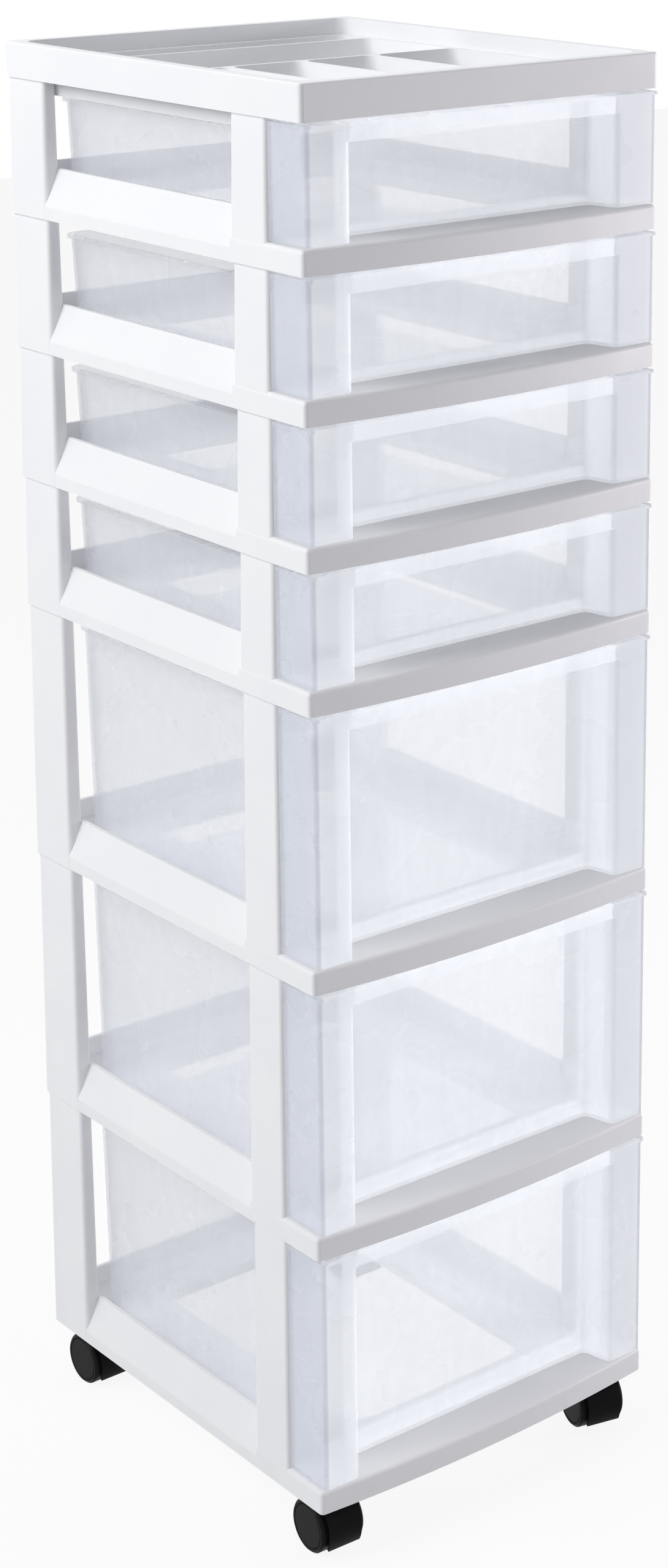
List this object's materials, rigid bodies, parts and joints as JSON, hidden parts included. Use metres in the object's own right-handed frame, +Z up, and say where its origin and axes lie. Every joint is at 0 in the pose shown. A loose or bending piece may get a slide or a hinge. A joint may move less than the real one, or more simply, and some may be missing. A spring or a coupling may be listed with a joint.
{
  "type": "drawer tower",
  "caption": "Rolling plastic tower of stacked frames with clear pull-out drawers, shallow ones above deep ones, an organizer tray on top and swivel casters.",
  "frame": {"origin": "on the floor, under the middle of the tower's bounding box", "axes": "+Z up, drawers pull out towards -Y, +X to the right seen from the front"},
  "size_m": [0.306, 0.362, 1.0581],
  "materials": {
    "white_frame": "moulded white polypropylene, soft satin",
    "clear_drawer": "translucent milky polypropylene",
    "caster_housing": "moulded black nylon",
    "caster_wheel": "moulded black nylon, smooth tread",
    "caster_steel": "plain drawn steel"
  },
  "bodies": {
    "tower": {"organizer_tray": "white_frame", "tier_frame_1": "white_frame", "tier_frame_2": "white_frame", "tier_frame_3": "white_frame", "tier_frame_4": "white_frame", "tier_frame_5": "white_frame", "tier_frame_6": "white_frame", "tier_frame_7": "white_frame", "caster_front_left_stem": "caster_steel", "caster_front_right_stem": "caster_steel", "caster_rear_left_stem": "caster_steel", "caster_rear_right_stem": "caster_steel"},
    "drawer_1_body": {"drawer_1": "clear_drawer"},
    "drawer_2_body": {"drawer_2": "clear_drawer"},
    "drawer_3_body": {"drawer_3": "clear_drawer"},
    "drawer_4_body": {"drawer_4": "clear_drawer"},
    "drawer_5_body": {"drawer_5": "clear_drawer"},
    "drawer_6_body": {"drawer_6": "clear_drawer"},
    "drawer_7_body": {"drawer_7": "clear_drawer"},
    "front_left_swivel": {"caster_front_left_housing": "caster_housing", "caster_front_left_axle": "caster_steel"},
    "front_left_left_wheel": {"caster_front_left_wheel_left": "caster_wheel"},
    "front_left_right_wheel": {"caster_front_left_wheel_right": "caster_wheel"},
    "front_right_swivel": {"caster_front_right_housing": "caster_housing", "caster_front_right_axle": "caster_steel"},
    "front_right_left_wheel": {"caster_front_right_wheel_left": "caster_wheel"},
    "front_right_right_wheel": {"caster_front_right_wheel_right": "caster_wheel"},
    "rear_left_swivel": {"caster_rear_left_housing": "caster_housing", "caster_rear_left_axle": "caster_steel"},
    "rear_left_left_wheel": {"caster_rear_left_wheel_left": "caster_wheel"},
    "rear_left_right_wheel": {"caster_rear_left_wheel_right": "caster_wheel"},
    "rear_right_swivel": {"caster_rear_right_housing": "caster_housing", "caster_rear_right_axle": "caster_steel"},
    "rear_right_left_wheel": {"caster_rear_right_wheel_left": "caster_wheel"},
    "rear_right_right_wheel": {"caster_rear_right_wheel_right": "caster_wheel"}
  },
  "joints": [
    {"name": "drawer_1_slide", "type": "slide", "parent": "tower", "child": "drawer_1_body", "axis": [0, -1, 0], "range_m": [0, 0.24]},
    {"name": "drawer_2_slide", "type": "slide", "parent": "tower", "child": "drawer_2_body", "axis": [0, -1, 0], "range_m": [0, 0.24]},
    {"name": "drawer_3_slide", "type": "slide", "parent": "tower", "child": "drawer_3_body", "axis": [0, -1, 0], "range_m": [0, 0.24]},
    {"name": "drawer_4_slide", "type": "slide", "parent": "tower", "child": "drawer_4_body", "axis": [0, -1, 0], "range_m": [0, 0.24]},
    {"name": "drawer_5_slide", "type": "slide", "parent": "tower", "child": "drawer_5_body", "axis": [0, -1, 0], "range_m": [0, 0.24]},
    {"name": "drawer_6_slide", "type": "slide", "parent": "tower", "child": "drawer_6_body", "axis": [0, -1, 0], "range_m": [0, 0.24]},
    {"name": "drawer_7_slide", "type": "slide", "parent": "tower", "child": "drawer_7_body", "axis": [0, -1, 0], "range_m": [0, 0.24]},
    {"name": "front_left_swivel_turn", "type": "hinge", "parent": "tower", "child": "front_left_swivel", "pos_m": [-0.126, -0.155, 0.0461], "axis": [0, 0, 1], "continuous": true},
    {"name": "front_left_left_wheel_spin", "type": "hinge", "parent": "front_left_swivel", "child": "front_left_left_wheel", "pos_m": [-0.13745, -0.14238, 0.02], "axis": [0.9986, -0.0523, 0], "continuous": true},
    {"name": "front_left_right_wheel_spin", "type": "hinge", "parent": "front_left_swivel", "child": "front_left_right_wheel", "pos_m": [-0.11329, -0.14365, 0.02], "axis": [0.9986, -0.0523, 0], "continuous": true},
    {"name": "front_right_swivel_turn", "type": "hinge", "parent": "tower", "child": "front_right_swivel", "pos_m": [0.126, -0.155, 0.0461], "axis": [0, 0, 1], "continuous": true},
    {"name": "front_right_left_wheel_spin", "type": "hinge", "parent": "front_right_swivel", "child": "front_right_left_wheel", "pos_m": [0.11716, -0.14043, 0.02], "axis": [0.9703, -0.2419, 0], "continuous": true},
    {"name": "front_right_right_wheel_spin", "type": "hinge", "parent": "front_right_swivel", "child": "front_right_right_wheel", "pos_m": [0.14064, -0.14628, 0.02], "axis": [0.9703, -0.2419, 0], "continuous": true},
    {"name": "rear_left_swivel_turn", "type": "hinge", "parent": "tower", "child": "rear_left_swivel", "pos_m": [-0.126, 0.144, 0.0461], "axis": [0, 0, 1], "continuous": true},
    {"name": "rear_left_left_wheel_spin", "type": "hinge", "parent": "rear_left_swivel", "child": "rear_left_left_wheel", "pos_m": [-0.1381, 0.156, 0.02], "axis": [1, 0, 0], "continuous": true},
    {"name": "rear_left_right_wheel_spin", "type": "hinge", "parent": "rear_left_swivel", "child": "rear_left_right_wheel", "pos_m": [-0.1139, 0.156, 0.02], "axis": [1, 0, 0], "continuous": true},
    {"name": "rear_right_swivel_turn", "type": "hinge", "parent": "tower", "child": "rear_right_swivel", "pos_m": [0.126, 0.144, 0.0461], "axis": [0, 0, 1], "continuous": true},
    {"name": "rear_right_left_wheel_spin", "type": "hinge", "parent": "rear_right_swivel", "child": "rear_right_left_wheel", "pos_m": [0.1139, 0.156, 0.02], "axis": [1, 0, 0], "continuous": true},
    {"name": "rear_right_right_wheel_spin", "type": "hinge", "parent": "rear_right_swivel", "child": "rear_right_right_wheel", "pos_m": [0.1381, 0.156, 0.02], "axis": [1, 0, 0], "continuous": true}
  ]
}
